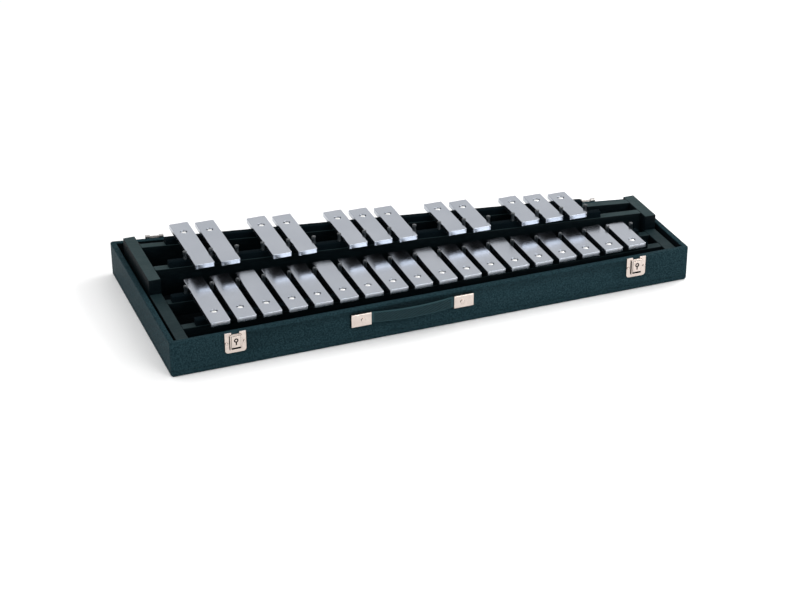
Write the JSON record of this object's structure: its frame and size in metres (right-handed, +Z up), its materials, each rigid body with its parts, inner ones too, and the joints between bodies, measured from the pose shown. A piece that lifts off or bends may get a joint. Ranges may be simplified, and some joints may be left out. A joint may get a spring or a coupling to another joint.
{
  "type": "glockenspiel",
  "caption": "Case glockenspiel: two rows of silver metal bars on felted rails in the tapered base half of a black carrying case, with latches, strap handle and lift-off hinges.",
  "frame": {"origin": "bottom centre of the whole object, on the surface that the case rests on", "axes": "+X along the case from the deep bass end to the shallow treble end, +Y from the front face with the handle to the hinged back, +Z up"},
  "size_m": [0.833, 0.36, 0.0984],
  "materials": {
    "bar_metal": "silver lacquered aluminium, satin",
    "leatherette": "black blue-green pebbled leatherette over plywood",
    "frame_wood": "dark grey painted wood",
    "felt": "black felt",
    "rubber": "matt black rubber",
    "steel": "nickel plated steel",
    "spring_steel": "plain spring steel",
    "strap": "black ribbed strap",
    "nickel": "nickel plated, satin"
  },
  "bodies": {
    "case": {"bar_a5": "bar_metal", "bar_a6": "bar_metal", "bar_a7": "bar_metal", "bar_a_sharp_5": "bar_metal", "bar_a_sharp_6": "bar_metal", "bar_a_sharp_7": "bar_metal", "bar_b5": "bar_metal", "bar_b6": "bar_metal", "bar_b7": "bar_metal", "bar_c6": "bar_metal", "bar_c7": "bar_metal", "bar_c8": "bar_metal", "bar_c_sharp_6": "bar_metal", "bar_c_sharp_7": "bar_metal", "bar_d6": "bar_metal", "bar_d7": "bar_metal", "bar_d_sharp_6": "bar_metal", "bar_d_sharp_7": "bar_metal", "bar_e6": "bar_metal", "bar_e7": "bar_metal", "bar_f6": "bar_metal", "bar_f7": "bar_metal", "bar_f_sharp_6": "bar_metal", "bar_f_sharp_7": "bar_metal", "bar_g5": "bar_metal", "bar_g6": "bar_metal", "bar_g7": "bar_metal", "bar_g_sharp_5": "bar_metal", "bar_g_sharp_6": "bar_metal", "bar_g_sharp_7": "bar_metal", "bar_grommets": "rubber", "bar_screws": "steel", "case_back": "leatherette", "case_bass_end": "leatherette", "case_bottom": "leatherette", "case_front": "leatherette", "case_treble_end": "leatherette", "end_board_bass": "frame_wood", "end_board_treble": "frame_wood", "felts_accidental": "felt", "felts_natural": "felt", "guide_pins": "steel", "guide_sleeves": "rubber", "handle_caps": "nickel", "handle_strap": "strap", "latch_plates": "nickel", "latch_spring_bass": "spring_steel", "latch_spring_treble": "spring_steel", "lid_hinge_halves": "nickel", "rail_front_accidental": "frame_wood", "rail_front_natural": "frame_wood", "rail_rear_accidental": "frame_wood", "rail_rear_natural": "frame_wood", "raised_block_bass": "frame_wood", "raised_block_treble": "frame_wood", "rivets": "nickel"},
    "slide_bass": {"latch_slide_bass": "nickel"},
    "slide_treble": {"latch_slide_treble": "nickel"},
    "plug_bass": {"lock_plug_bass": "nickel"},
    "plug_treble": {"lock_plug_treble": "nickel"}
  },
  "joints": [
    {"name": "latch_release_bass", "type": "slide", "parent": "case", "child": "slide_bass", "axis": [0, 0, -1], "range_m": [0, 0.0026], "stiffness_N_per_m": 600, "springref_m": -0.002, "deforming": ["latch_spring_bass"]},
    {"name": "lock_turn_bass", "type": "hinge", "parent": "slide_bass", "child": "plug_bass", "pos_m": [-0.3195, -0.169, 0.0444], "axis": [0, -1, 0], "range_deg": [0, 90]},
    {"name": "latch_release_treble", "type": "slide", "parent": "case", "child": "slide_treble", "axis": [0, 0, -1], "range_m": [0, 0.0026], "stiffness_N_per_m": 600, "springref_m": -0.002, "deforming": ["latch_spring_treble"]},
    {"name": "lock_turn_treble", "type": "hinge", "parent": "slide_treble", "child": "plug_treble", "pos_m": [0.3247, -0.169, 0.0444], "axis": [0, -1, 0], "range_deg": [0, 90]}
  ]
}
